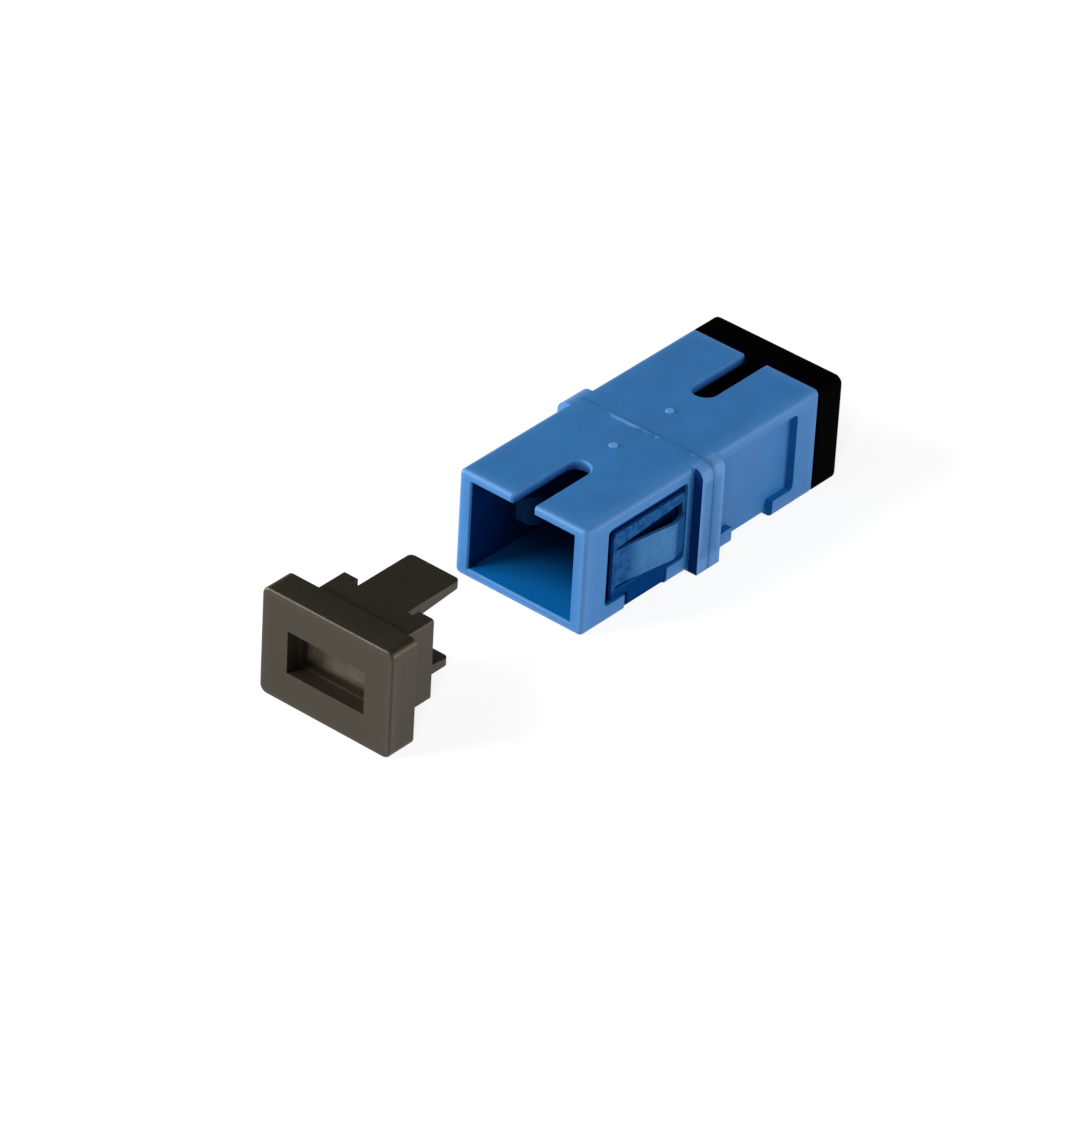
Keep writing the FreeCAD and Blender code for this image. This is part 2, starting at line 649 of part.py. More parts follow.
def check_and_write(pieces):
    """Stops on any failed object or shape, then writes one STEP file for each piece."""
    DOC.recompute()
    for item in DOC.Objects:
        if "Invalid" in item.State or "Error" in item.State:
            raise RuntimeError("%s did not compute: %s" % (item.Name, item.State))
    for body in pieces:
        if body.Shape.isNull() or not body.Shape.isValid() or len(body.Shape.Solids) != 1:
            raise RuntimeError("%s is not one valid solid" % body.Label)
    os.makedirs("parts", exist_ok=True)
    for body in pieces:
        body.Shape.exportStep("parts/%s.step" % body.Label)
        print("%-20s volume %8.2f mm3" % (body.Label, body.Shape.Volume))


check_and_write(build_all())
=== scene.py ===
import math

import bpy
import numpy as np
from bpy.props import FloatProperty, FloatVectorProperty, IntProperty, PointerProperty
from mathutils import Matrix, Vector


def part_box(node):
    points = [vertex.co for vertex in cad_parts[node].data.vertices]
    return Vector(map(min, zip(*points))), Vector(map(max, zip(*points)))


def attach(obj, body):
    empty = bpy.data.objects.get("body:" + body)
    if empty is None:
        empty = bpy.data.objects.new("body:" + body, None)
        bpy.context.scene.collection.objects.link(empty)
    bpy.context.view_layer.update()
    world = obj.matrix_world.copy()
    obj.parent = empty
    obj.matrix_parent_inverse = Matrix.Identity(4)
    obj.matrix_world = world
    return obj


bl_info = {
    "name": "Fibre Adapter Finish",
    "version": (1, 0, 0),
    "blender": (4, 5, 0),
    "location": "3D View > Sidebar > Fibre Adapter",
    "description": "Finishes an SC simplex fibre adapter, its panel clip and its dust plugs",
    "category": "Object",
}

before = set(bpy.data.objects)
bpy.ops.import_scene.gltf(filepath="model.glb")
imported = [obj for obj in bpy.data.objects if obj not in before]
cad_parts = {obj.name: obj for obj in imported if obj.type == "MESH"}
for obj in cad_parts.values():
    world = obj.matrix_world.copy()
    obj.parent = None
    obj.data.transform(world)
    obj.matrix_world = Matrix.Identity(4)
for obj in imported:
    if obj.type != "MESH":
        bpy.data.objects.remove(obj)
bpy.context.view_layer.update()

MM = 0.001
HOUSING_LOW, HOUSING_HIGH = (np.array(corner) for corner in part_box("front_housing"))
INSERT_LOW, INSERT_HIGH = (np.array(corner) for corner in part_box("front_latch_insert"))
PLUG_LOW, PLUG_HIGH = (np.array(corner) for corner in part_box("front_dust_plug"))
CAP_LOW, CAP_HIGH = (np.array(corner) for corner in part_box("rear_dust_plug"))
CLIP_LOW, CLIP_HIGH = (np.array(corner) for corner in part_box("panel_clip"))
FLOOR_LEVEL = float(HOUSING_LOW[2])
HALF_LENGTH = float(-HOUSING_LOW[1])
HALF_HEIGHT = -FLOOR_LEVEL

# Places on the adapter in millimetres, as the finishes read them from Object coordinates. FAR_OFF is a
# distance past the reach of any worn edge.
SIDE = 6.35
END = HALF_LENGTH / MM
TOP = HALF_HEIGHT / MM
FLANGE_SIDE = HOUSING_HIGH[0] / MM
FLANGE_HALF = 1.35
PORT_HALF_X = 5.03
PORT_HALF_Z = 3.9
COVER_WALL = 0.85
KEY_HALF = 1.05
PIP_PLACE = 3.35
PIP_RADIUS = 0.36
RECESS_END = 11.3
RECESS_TOP = 3.7
RECESS_DEPTH = 0.65
SEAM_PLACE = 0.05
FAR_OFF = 10.0

# Places on the panel clip in millimetres.
CLIP_FRONT = CLIP_LOW[1] / MM
CLIP_BACK = CLIP_HIGH[1] / MM
PLATE_FACE = 6.25
PLATE_TOP = CLIP_HIGH[2] / MM
PLATE_FOOT = -3.13
TONGUE_FOOT = -2.0
TONGUE_CREST = -4.1
TONGUE_PEAK = CLIP_HIGH[0] / MM
GROOVE_REACH = 0.84

# Grip pocket of a dust plug in millimetres: from the outer face to its back, and half its width and height.
POCKET_DEPTH = 2.7
POCKET_HALF_X = 3.8
POCKET_HALF_Z = 1.85

# Weld flash in millimetres, with the seed of its ripples and the sides of its section. Each swell is its
# place across, its spread and its share of the full height.
FLASH_SWELLS = ((-2.2, 0.8, 0.95), (-0.7, 0.7, 0.85), (0.6, 0.3, 0.5), (1.7, 0.22, 0.6), (5.2, 0.3, 0.4))
FLASH_END_GAP = 0.25
FLASH_FADE = 0.6
FLASH_WANDER = 0.07
FLASH_LEAN = 0.30
FLASH_SINK = 0.012
SEAM_SEED = 7
FLASH_SIDES = 16

# Stage in metres. Each lamp is its name, its place, the point that it faces, its width and its height.
FLOOR_HALF = 1.5
LAMPS = (
    ("front_lamp", (-0.212, -0.339, 0.301), (0.0, -0.01, 0.0), 0.16, 0.16),
    ("left_lamp", (-0.376, -0.235, 0.078), (0.0, -0.01, 0.0), 0.16, 0.12),
    ("corner_lamp", (0.216, -0.375, 0.250), (0.0, -0.01, 0.0), 0.05, 0.05),
    ("side_lamp", (0.40, 0.18, 0.16), (0.0, 0.0, 0.0), 0.24, 0.20),
)

# Camera: its film's height in millimetres, and the nearest and furthest that it sees, in metres.
FILM_HEIGHT = 36.0
CAMERA_NEAR = 0.01
CAMERA_FAR = 20.0


# ---------------------------------------------------------------- settings

class FA_PG_colours(bpy.types.PropertyGroup):
    """Colours of the finishes, as linear light."""

    housing: FloatVectorProperty(
        name="Housing", description="Blue moulded plastic of both halves",
        subtype="COLOR", size=3, min=0.0, max=1.0, default=(0.038, 0.180, 0.448))
    insert: FloatVectorProperty(
        name="Latch insert", description="Blue plastic of the sleeve holder and the latch arms",
        subtype="COLOR", size=3, min=0.0, max=1.0, default=(0.022, 0.150, 0.370))
    clip: FloatVectorProperty(
        name="Panel clip", description="Thin blue coating on the spring sheet",
        subtype="COLOR", size=3, min=0.0, max=1.0, default=(0.030, 0.170, 0.400))
    # Painted shade: the flat plate and the turned-in ends are drawn darker than the tongues.
    sheet: FloatVectorProperty(
        name="Clip plate", description="Darker coating on the flat plate and the turned-in ends",
        subtype="COLOR", size=3, min=0.0, max=1.0, default=(0.008, 0.062, 0.220))
    # Painted shade below the tongues, down to where the strap turns under the housing.
    under: FloatVectorProperty(
        name="Under the clip", description="Darker coating where the strap turns under the housing",
        subtype="COLOR", size=3, min=0.0, max=1.0, default=(0.000, 0.036, 0.170))
    sleeve: FloatVectorProperty(
        name="Split sleeve", description="Polished white ceramic",
        subtype="COLOR", size=3, min=0.0, max=1.0, default=(0.860, 0.850, 0.800))
    # Painted shade: a deeper blue inside the ports and on the walls of the empty recess.
    port: FloatVectorProperty(
        name="Port walls", description="Deeper blue of the walls inside the ports",
        subtype="COLOR", size=3, min=0.0, max=1.0, default=(0.000, 0.140, 0.430))
    # Painted shade: the gap round the clip, the key slots, the flange faces beside the clip, deep in the
    # ports.
    painted_shade: FloatVectorProperty(
        name="Grooves", description="Grime in the grooves round the clip and deep in the ports",
        subtype="COLOR", size=3, min=0.0, max=1.0, default=(0.000, 0.026, 0.160))
    brown_plug: FloatVectorProperty(
        name="Loose plug", description="Dark brown moulded plastic",
        subtype="COLOR", size=3, min=0.0, max=1.0, default=(0.016, 0.0130, 0.0080))
    black_plug: FloatVectorProperty(
        name="Fitted plug", description="Black moulded plastic",
        subtype="COLOR", size=3, min=0.0, max=1.0, default=(0.0008, 0.0008, 0.0012))


class FA_PG_details(bpy.types.PropertyGroup):
    """Sizes of the small forms and of the surface grain."""

    flash_height: FloatProperty(
        name="Flash height", description="Highest point of the weld flash above the top",
        subtype="DISTANCE", unit="LENGTH", min=0.0, max=0.5 * MM, default=0.12 * MM, precision=5)
    flash_width: FloatProperty(
        name="Flash width", description="Widest part of the weld flash",
        subtype="DISTANCE", unit="LENGTH", min=0.0, max=1.5 * MM, default=0.66 * MM, precision=5)
    flash_steps: IntProperty(
        name="Flash steps", description="Grid steps along the weld flash", min=40, max=900, default=420)
    grain: FloatProperty(
        name="Mould grain", description="Size of the fine texture left by the mould",
        subtype="DISTANCE", unit="LENGTH", min=0.01 * MM, max=1.0 * MM, default=0.11 * MM, precision=5)
    grain_depth: FloatProperty(
        name="Grain depth", description="Depth of the mould texture",
        subtype="DISTANCE", unit="LENGTH", min=0.0, max=0.1 * MM, default=0.012 * MM, precision=6)
    # The paler edge is part edge wear, part painted highlight.
    edge_width: FloatProperty(
        name="Edge wear width", description="How far the paler worn edge reaches",
        subtype="DISTANCE", unit="LENGTH", min=0.0, max=2.0 * MM, default=0.55 * MM, precision=5)


class FA_PG_stage(bpy.types.PropertyGroup):
    """Camera, lamps and floor."""

    azimuth: FloatProperty(
        name="Azimuth", description="Camera round the adapter, from its front towards its right side",
        subtype="ANGLE", default=math.radians(38.68))
    elevation: FloatProperty(
        name="Elevation", description="Camera above the floor",
        subtype="ANGLE", default=math.radians(34.22))
    roll: FloatProperty(
        name="Roll", description="Camera turned about its own line of sight",
        subtype="ANGLE", default=math.radians(3.31))
    distance: FloatProperty(
        name="Distance", description="Camera from the point it looks at",
        subtype="DISTANCE", unit="LENGTH", default=0.581, min=0.05)
    aim: FloatVectorProperty(
        name="Aim", description="Point that the camera looks at",
        subtype="TRANSLATION", size=3, default=(-0.00327, -0.00737, -0.00545))
    lens: FloatProperty(
        name="Lens", description="Focal length for a 36 mm film height",
        subtype="DISTANCE_CAMERA", default=243.6, min=10.0)
    front_lamp: FloatProperty(
        name="Front lamp", description="Power of the lamp in front, above the loose plug",
        subtype="POWER", unit="POWER", min=0.0, default=1.45)
    left_lamp: FloatProperty(
        name="Left lamp", description="Power of the low lamp on the front left",
        subtype="POWER", unit="POWER", min=0.0, default=2.05)
    corner_lamp: FloatProperty(
        name="Corner lamp",
        description="Power of the small lamp on the front right, which draws out the edges",
        subtype="POWER", unit="POWER", min=0.0, default=0.42)
    side_lamp: FloatProperty(
        name="Side lamp", description="Power of the low lamp on the right",
        subtype="POWER", unit="POWER", min=0.0, default=1.42)
    sky: FloatProperty(
        name="Sky", description="Strength of the even light from all round", min=0.0, max=1.0, default=0.06)
    ceiling: FloatProperty(
        name="Dim ceiling", description="How far the white room darkens overhead in reflections",
        min=0.0, max=1.0, default=1.0)
    floor: FloatVectorProperty(
        name="Floor", description="Colour of the floor, which sends light up to the adapter",
        subtype="COLOR", size=3, min=0.0, max=1.0, default=(0.80, 0.80, 0.80))
    floor_seen: FloatVectorProperty(
        name="Floor as seen", description="Colour of the floor that carries the shadow for the camera",
        subtype="COLOR", size=3, min=0.0, max=1.0, default=(0.30, 0.30, 0.30))
    floor_lift: FloatProperty(
        name="Floor lift", description="Light that the floor adds for the camera and in reflections",
        min=0.0, max=1.0, default=0.82)


# ---------------------------------------------------------------- shader maths

class Wire:
    """A socket in a node tree on which sums, products and powers make Math nodes."""

    def __init__(self, paint, socket):
        self.paint = paint
        self.socket = socket

    def _math(self, operation, *values):
        inputs = {number: value for number, value in enumerate(values)}
        return self.paint.node("ShaderNodeMath", {"operation": operation}, inputs).out(0)

    def __add__(self, other):
        return self._math("ADD", self, other)

    def __radd__(self, other):
        return self._math("ADD", other, self)

    def __sub__(self, other):
        return self._math("SUBTRACT", self, other)

    def __rsub__(self, other):
        return self._math("SUBTRACT", other, self)

    def __mul__(self, other):
        return self._math("MULTIPLY", self, other)

    def __rmul__(self, other):
        return self._math("MULTIPLY", other, self)

    def __pow__(self, other):
        return self._math("POWER", self, other)

    def __abs__(self):
        return self._math("ABSOLUTE", self)

    def least(self, other):
        """The smaller of two values."""
        return self._math("MINIMUM", self, other)

    def most(self, other):
        """The larger of two values."""
        return self._math("MAXIMUM", self, other)

    def ramp(self, low, high):
        """0 below low, 1 above high and a smooth S between; high may be below low."""
        settings = {"interpolation_type": "SMOOTHSTEP", "clamp": True}
        return self.paint.node("ShaderNodeMapRange", settings, {0: self, 1: low, 2: high}).out(0)


class Made:
    """A node whose outputs are taken as wires."""

    def __init__(self, paint, item):
        self.paint = paint
        self.item = item

    def out(self, key):
        """One output, by its name or number."""
        return Wire(self.paint, self.item.outputs[key])


class Paint:
    """A node tree and the one method that adds nodes to it."""

    def __init__(self, tree):
        self.tree = tree
        tree.nodes.clear()

    def node(self, kind, settings=None, inputs=None):
        """Adds a node: its settings first, then the values or wires of its sockets."""
        item = self.tree.nodes.new(kind)
        for name, value in (settings or {}).items():
            setattr(item, name, value)
        for key, value in (inputs or {}).items():
            if isinstance(value, Wire):
                self.tree.links.new(value.socket, item.inputs[key])
            else:
                item.inputs[key].default_value = value
        return Made(self, item)

    def mix(self, factor, first, second):
        """Colour between two colours."""
        settings = {"data_type": "RGBA", "clamp_factor": True}
        return self.node("ShaderNodeMix", settings, {0: factor, 6: first, 7: second}).out(2)

    def coats(self, body, layers):
        """Colour with further colours laid over it in order, each by its own amount."""
        for amount, colour in layers:
            body = self.mix(amount, body, colour)
        return body

    def scaled(self, vector, factors):
        """Vector times a vector, part by part."""
        return self.node("ShaderNodeVectorMath", {"operation": "MULTIPLY"}, {0: vector, 1: factors}).out(0)

    def noise(self, vector, scale, detail=2.0, roughness=0.5, distortion=0.0):
        """Noise from 0 to 1 at a scale given in lumps for each millimetre."""
        inputs = {"Vector": vector, "Scale": scale, "Detail": detail, "Roughness": roughness,
                  "Distortion": distortion}
        return self.node("ShaderNodeTexNoise", {"noise_dimensions": "3D"}, inputs).out(0)

    def bump(self, distance, height):
        """Normal of a relief: a height without a unit times a distance in metres."""
        inputs = {"Strength": 1.0, "Distance": distance, "Height": height}
        return self.node("ShaderNodeBump", None, inputs).out(0)

    def place(self):
        """Object coordinates in millimetres, as a vector and as its three parts."""
        coordinates = self.node("ShaderNodeTexCoord").out("Object")
        vector = self.scaled(coordinates, (1 / MM, 1 / MM, 1 / MM))
        parts = self.node("ShaderNodeSeparateXYZ", None, {0: vector})
        return vector, [parts.out(number) for number in range(3)]


def rgba(colour):
    """Four parts of a colour given as a grey, or as three parts."""
    if isinstance(colour, (int, float)):
        return (colour, colour, colour, 1.0)
    return (colour[0], colour[1], colour[2], 1.0)


def tinted(colour, gain, veil=0.0):
    """Colour times a gain, plus the same white veil on each part."""
    return rgba([min(1.0, part * gain + veil) for part in colour])


# ---------------------------------------------------------------- materials

# Sheen of the blue plastic, and the looks of the mouldings. In a look, scratch_way stretches the scratches,
# cloud, edge, fleck and scratch are the strengths of those marks, and pale and veil are the gain and the
# white of the colour that wear brings out; on the edges that paler colour is part wear, part painted
# highlight. A plug's look also has its sheen, and under dust a painted light on its grip pocket's back.
PLASTIC = {"IOR": 1.5, "Specular IOR Level": 0.22}
HOUSING_LOOK = {"scratch_way": (0.9, 0.16, 0.9), "cloud": 0.06, "edge": 0.85, "fleck": 0.14,
                "scratch": 0.12, "rough": 0.44, "pale": 1.28, "veil": 0.080}
INSERT_LOOK = {"scratch_way": (1.1, 0.14, 1.1), "cloud": 0.06, "edge": 0.35, "fleck": 0.12,
               "scratch": 0.18, "rough": 0.40, "pale": 1.25, "veil": 0.06}
# Under dust: the strength of the painted light on the back of the grip pocket.
BROWN_PLUG = {"scratch_way": (0.7, 0.9, 0.22), "cloud": 0.08, "edge": 0.35, "fleck": 0.16,
              "scratch": 0.12, "rough": 0.50, "pale": 1.9, "veil": 0.030, "dust": 0.9,
              "sheen": {"IOR": 1.5, "Specular IOR Level": 0.54, "Specular Tint": (1.0, 0.86, 0.63, 1.0)}}
BLACK_PLUG = {"scratch_way": (0.7, 0.9, 0.22), "cloud": 0.08, "edge": 0.35, "fleck": 0.16,
              "scratch": 0.12, "rough": 0.62, "pale": 1.6, "veil": 0.0006, "dust": 0.0,
              "sheen": {"IOR": 1.5, "Specular IOR Level": 0.003}}


def new_paint(name):
    """Empty material with its node tree wrapped."""
    material = bpy.data.materials.new(name)
    material.use_nodes = True
    return material, Paint(material.node_tree)


def finish_surface(paint, colour, roughness, normal, constants, dull=None):
    """Principled surface: varied colour, roughness and normal; everything else is constant.

    Where dull is given, the surface turns into the same colour without any sheen as dull goes to 1.
    """
    inputs = {"Base Color": colour, "Roughness": roughness, "Normal": normal}
    inputs.update(constants)
    surface = paint.node("ShaderNodeBsdfPrincipled", None, inputs)
    if dull is not None:
        plain = {"Base Color": colour, "Roughness": 0.9, "Normal": normal, "Specular IOR Level": 0.0}
        flat = paint.node("ShaderNodeBsdfPrincipled", None, plain)
        surface = paint.node("ShaderNodeMixShader", None, {0: dull, 1: surface.out(0), 2: flat.out(0)})
    paint.node("ShaderNodeOutputMaterial", None, {"Surface": surface.out(0)})


def edge_distance(parts, halves, centre=(0.0, 0.0, 0.0)):
    """Distance in millimetres from the nearest edge of a box: the least sum of two face distances."""
    gaps = [half - abs(part - middle) for part, half, middle in zip(parts, halves, centre)]
    across = (gaps[0] + gaps[1]).least(gaps[0] + gaps[2])
    return across.least(gaps[1] + gaps[2])


def moulded(paint, vector, colour, edge, details, look):
    """Moulded plastic.

    Colour: the base, clouded by a slow noise, paler on the edges (edge ramp times a broken noise), part
    wear and part painted highlight, and flecked by a fine noise. Roughness: base plus cloud, smoother on
    the paler edges. Height: mould grain plus a shallow sink wave, and sparse hairline scratches from a
    noise stretched along one way.
    """
    cloud = paint.noise(vector, 0.32, 4.0, 0.6)
    fleck = paint.noise(vector, 5.0, 3.0, 0.6)
    grain = paint.noise(vector, MM / details.grain, 2.0, 0.7)
    width = details.edge_width / MM
    band = edge.ramp(width, 0.0) * 0.65 + edge.ramp(width * 2.6, 0.0) * 0.35
    # Paler edge band: part edge wear, part painted highlight.
    wear_and_highlight = band * (0.60 + 0.40 * paint.noise(vector, 1.7, 5.0, 0.7))
    drawn = paint.noise(paint.scaled(vector, look["scratch_way"]), 1.0, 6.0, 0.75, 0.4)
    scratch = drawn.ramp(0.66, 0.74)
    dark = tinted(colour, 1.0 - look["cloud"])
    light = tinted(colour, 1.0 + look["cloud"])
    pale = tinted(colour, look["pale"], look["veil"])
    body = paint.coats(paint.mix(cloud.ramp(0.30, 0.72), dark, light), (
        (wear_and_highlight * look["edge"], pale),
        (fleck.ramp(0.58, 0.80) * look["fleck"], pale),
        (scratch * look["scratch"], pale),
    ))
    rough = look["rough"] + (cloud - 0.5) * 0.16 + (fleck - 0.5) * 0.10 - wear_and_highlight * 0.16 + scratch * 0.08
    height = grain + cloud * 1.2 - scratch * 0.9
    return body, rough, paint.bump(details.grain_depth, height)


def beside_clip(parts, inward):
    """1 in the part of the recess that the clip leaves open, rising with the depth; 0 elsewhere."""
    x, y, z = parts
    along = (y - (CLIP_FRONT - GROOVE_REACH)).ramp(-0.05, 0.0)
    behind = (y - (CLIP_BACK + GROOVE_REACH / 4)).ramp(0.05, 0.0)
    below = (z - (PLATE_TOP + GROOVE_REACH)).ramp(0.05, 0.0)
    outside = abs(x).ramp(SIDE - RECESS_DEPTH - 0.30, SIDE - RECESS_DEPTH - 0.20)
    return inward.ramp(0.10, 0.40) * (along * behind * below * outside)


def behind_clip(parts, inward):
    """1 on the floor of the recess where the plate of the clip covers it, 0 elsewhere."""
    _, y, z = parts
    along = (y - CLIP_FRONT).ramp(0.05, 0.15) * (CLIP_BACK - y).ramp(0.0, 0.1)
    up = (PLATE_TOP - z).ramp(0.05, 0.15) * (z - PLATE_FOOT).ramp(0.0, 0.1)
    near = inward.ramp(RECESS_DEPTH - 0.20, RECESS_DEPTH - 0.10)
    far = inward.ramp(RECESS_DEPTH + 0.25, RECESS_DEPTH + 0.15)
    return near * far * (along * up)


def recess_walls(parts, inward):
    """1 on the walls of the empty recess of the rear half, 0 elsewhere."""
    _, y, z = parts
    along = y.ramp(FLANGE_HALF, FLANGE_HALF + 0.2) * y.ramp(RECESS_END + 0.06, RECESS_END + 0.02)
    deep = inward.ramp(0.02, 0.08) * inward.ramp(RECESS_DEPTH - 0.02, RECESS_DEPTH - 0.07)
    return along * deep * z.ramp(RECESS_TOP + 0.06, RECESS_TOP + 0.02)


def side_frame(parts):
    """1 on the side faces round the recesses, half as much on the rear half, 0 elsewhere."""
    across = abs(parts[0])
    face = across.ramp(SIDE - 0.07, SIDE - 0.02) * across.ramp(SIDE + 0.15, SIDE + 0.07)
    return face * (0.5 + 0.5 * parts[1].ramp(0.5, -1.5))


def flange_faces(parts):
    """1 on the two end faces of the flange on the side with positive x, 0 elsewhere."""
    x, y, _ = parts
    return abs(y).ramp(FLANGE_HALF - 0.03, FLANGE_HALF - 0.01) * x.ramp(SIDE + 0.01, SIDE + 0.07)


def flange_edge(parts):
    """Distance in millimetres from the nearest edge of the flange, far off everywhere else."""
    x, y, _ = parts
    away = edge_distance(parts, (FLANGE_SIDE, FLANGE_HALF, TOP))
    inside = abs(x).ramp(SIDE + 0.05, SIDE - 0.01)
    beyond = abs(y).ramp(FLANGE_HALF + 0.02, FLANGE_HALF + 0.08)
    return away + inside * FAR_OFF + beyond * FAR_OFF


def in_port(parts):
    """1 on the walls of a port and between them, 0 elsewhere."""
    x, _, z = parts
    return (PORT_HALF_X - abs(x)).ramp(-0.06, -0.02) * (PORT_HALF_Z - abs(z)).ramp(-0.06, -0.02)


def port_depth(parts, reach):
    """0 at the mouth of a port and outside it, rising to 1 at the given depth."""
    return in_port(parts) * (END - abs(parts[1])).ramp(0.5, reach)


def slot_walls(parts):
    """0 at the top edge of a key slot and away from it, rising to 1 at the foot of its walls."""
    x, _, z = parts
    down = TOP - z
    walls = abs(x).ramp(KEY_HALF + 0.05, KEY_HALF + 0.02)
    return walls * down.ramp(0.15, 0.70) * down.ramp(COVER_WALL + 0.10, COVER_WALL + 0.01)


def pips(parts):
    """1 on the two moulding pips on the top."""
    x, y, z = parts
    away = (abs(abs(y) - PIP_PLACE) ** 2.0 + x ** 2.0) ** 0.5
    return away.ramp(PIP_RADIUS + 0.10, PIP_RADIUS - 0.06) * z.ramp(TOP - 0.1, TOP - 0.05)


def weld_marks(paint, vector, parts):
    """Two broken masks along the weld: a narrow seam, weaker on the flange, and a wide darker band, stronger
    towards positive x.
    """
    x, y, _ = parts
    patches = paint.noise(vector, 0.7, 3.0, 0.6).ramp(0.35, 0.60)
    away = abs(y - SEAM_PLACE)
    on_body = 0.3 + 0.7 * abs(x).ramp(SIDE + 0.10, SIDE - 0.05)
    on_right = 0.35 + 0.65 * x.ramp(-3.0, 0.5)
    seam = away.ramp(0.15, 0.05) * (0.4 + 0.6 * patches) * on_body
    weld_band = away.ramp(0.55, 0.05) * on_right * (0.6 + 0.4 * patches)
    return seam, weld_band


def housing_material(colours, details):
    """Blue housing: moulded plastic, paler on its outer edges (part wear, part painted highlight), on the
    frame of its sides (painted light) and on its pips.

    Painted shade makes it a deeper blue in the ports and on the walls of the empty recess, and dark in
    the gap round the clip, behind its plate, on the faces of the flange beside it, in the key slots and
    deep in the ports. It is also darker along the weld.
    """
    material, paint = new_paint("housing_blue")
    vector, parts = paint.place()
    edge = edge_distance(parts, (SIDE, END, TOP)).least(flange_edge(parts))
    body, rough, normal = moulded(paint, vector, colours.housing, edge, details, HOUSING_LOOK)
    inward = SIDE - abs(parts[0])
    # Painted light: the side faces round the recesses drawn paler, half as much on the rear half.
    painted_light = side_frame(parts) * (0.7 + 0.3 * paint.noise(vector, 1.1, 3.0, 0.6))
    wall = recess_walls(parts, inward)
    crevice = beside_clip(parts, inward)
    hidden = behind_clip(parts, inward)
    inside = in_port(parts)
    upright = inside * (PORT_HALF_X - abs(parts[0])).ramp(0.08, 0.03)
    flange_shade = flange_faces(parts)
    seam, weld_band = weld_marks(paint, vector, parts)
    body = paint.coats(body, (
        (painted_light * 0.34, tinted(colours.housing, 1.30, 0.015)),
        # Painted shade on the walls of the empty recess.
        (wall * 0.7, rgba(colours.port)),
        # Painted shade in the gap round the clip.
        (crevice * 0.9, tinted(colours.painted_shade, 1.7)),
        # Painted shade on the recess floor behind the clip's plate.
        (hidden * 0.9, tinted(colours.painted_shade, 0.12)),
        # Painted shade: the deeper blue inside the ports.
        (inside * 0.9, rgba(colours.port)),
        # Painted shade on the upright walls of the ports.
        (upright * 0.9, tinted(colours.painted_shade, 0.75)),
        # Painted shade deepening into the ports.
        (port_depth(parts, 8.0) * 0.92, tinted(colours.painted_shade, 0.25)),
        # Painted shade in the key slots.
        (slot_walls(parts) * 0.7, rgba(colours.painted_shade)),
        # Painted shade on the faces of the flange beside the clip.
        (flange_shade * 0.95, rgba(colours.painted_shade)),
        # Darker band along the weld, stronger towards positive x.
        (weld_band * 0.45, tinted(colours.housing, 0.62)),
        (seam * 0.65, tinted(colours.housing, 0.50)),
        (pips(parts) * 0.85, tinted(colours.housing, 1.45, 0.08)),
    ))
    dull = crevice.most(hidden).most(inside).most(flange_shade).most(wall).most(seam)
    finish_surface(paint, body, rough, normal, PLASTIC, dull)
    return material


def insert_material(colours, details):
    """Blue latch insert: the same plastic, smoother, with painted shade deep in the port."""
    material, paint = new_paint("insert_blue")
    vector, parts = paint.place()
    halves = np.array([INSERT_HIGH[0], -INSERT_LOW[1], INSERT_HIGH[2]]) / MM
    edge = edge_distance(parts, halves)
    body, rough, normal = moulded(paint, vector, colours.insert, edge, details, INSERT_LOOK)
    # Painted shade deep in the port.
    deep = port_depth(parts, 6.0)
    body = paint.mix(deep * 0.97, body, tinted(colours.painted_shade, 0.30))
    finish_surface(paint, body, rough, normal, PLASTIC, deep)
    return material


def pocket_back(parts, low):
    """1 on the back of the grip pocket of a plug whose outer face is at the low end of y, 0 elsewhere."""
    x, y, z = parts
    depth = y - low[1] / MM
    back = depth.ramp(POCKET_DEPTH - 0.8, POCKET_DEPTH - 0.1) * depth.ramp(POCKET_DEPTH + 0.1, POCKET_DEPTH)
    across = abs(x).ramp(POCKET_HALF_X + 0.4, POCKET_HALF_X + 0.2)
    return back * across * abs(z).ramp(POCKET_HALF_Z + 0.35, POCKET_HALF_Z + 0.15)


def plug_material(name, colour, low, high, details, look):
    """Dust plug: matt moulded plastic, paler along the edges of its plate, part wear, part painted
    highlight.

    Where its look has a dust value, that is painted light on the back of the grip pocket, weaker towards
    positive x.
    """
    material, paint = new_paint(name)
    vector, parts = paint.place()
    centre = (low + high) / 2 / MM
    halves = (high - low) / 2 / MM
    edge = edge_distance(parts, halves, centre)
    body, rough, normal = moulded(paint, vector, colour, edge, details, look)
    # Painted light on the back of the grip pocket, where the pocket's walls shade it.
    if look["dust"] > 0.0:
        pocket_lift = look["dust"] * (0.45 + 0.55 * parts[0].ramp(2.5, -1.5))
        body = paint.mix(pocket_back(parts, low) * pocket_lift, body, tinted(colour, 9.0, 0.060))
    finish_surface(paint, body, rough, normal, look["sheen"])
    return material


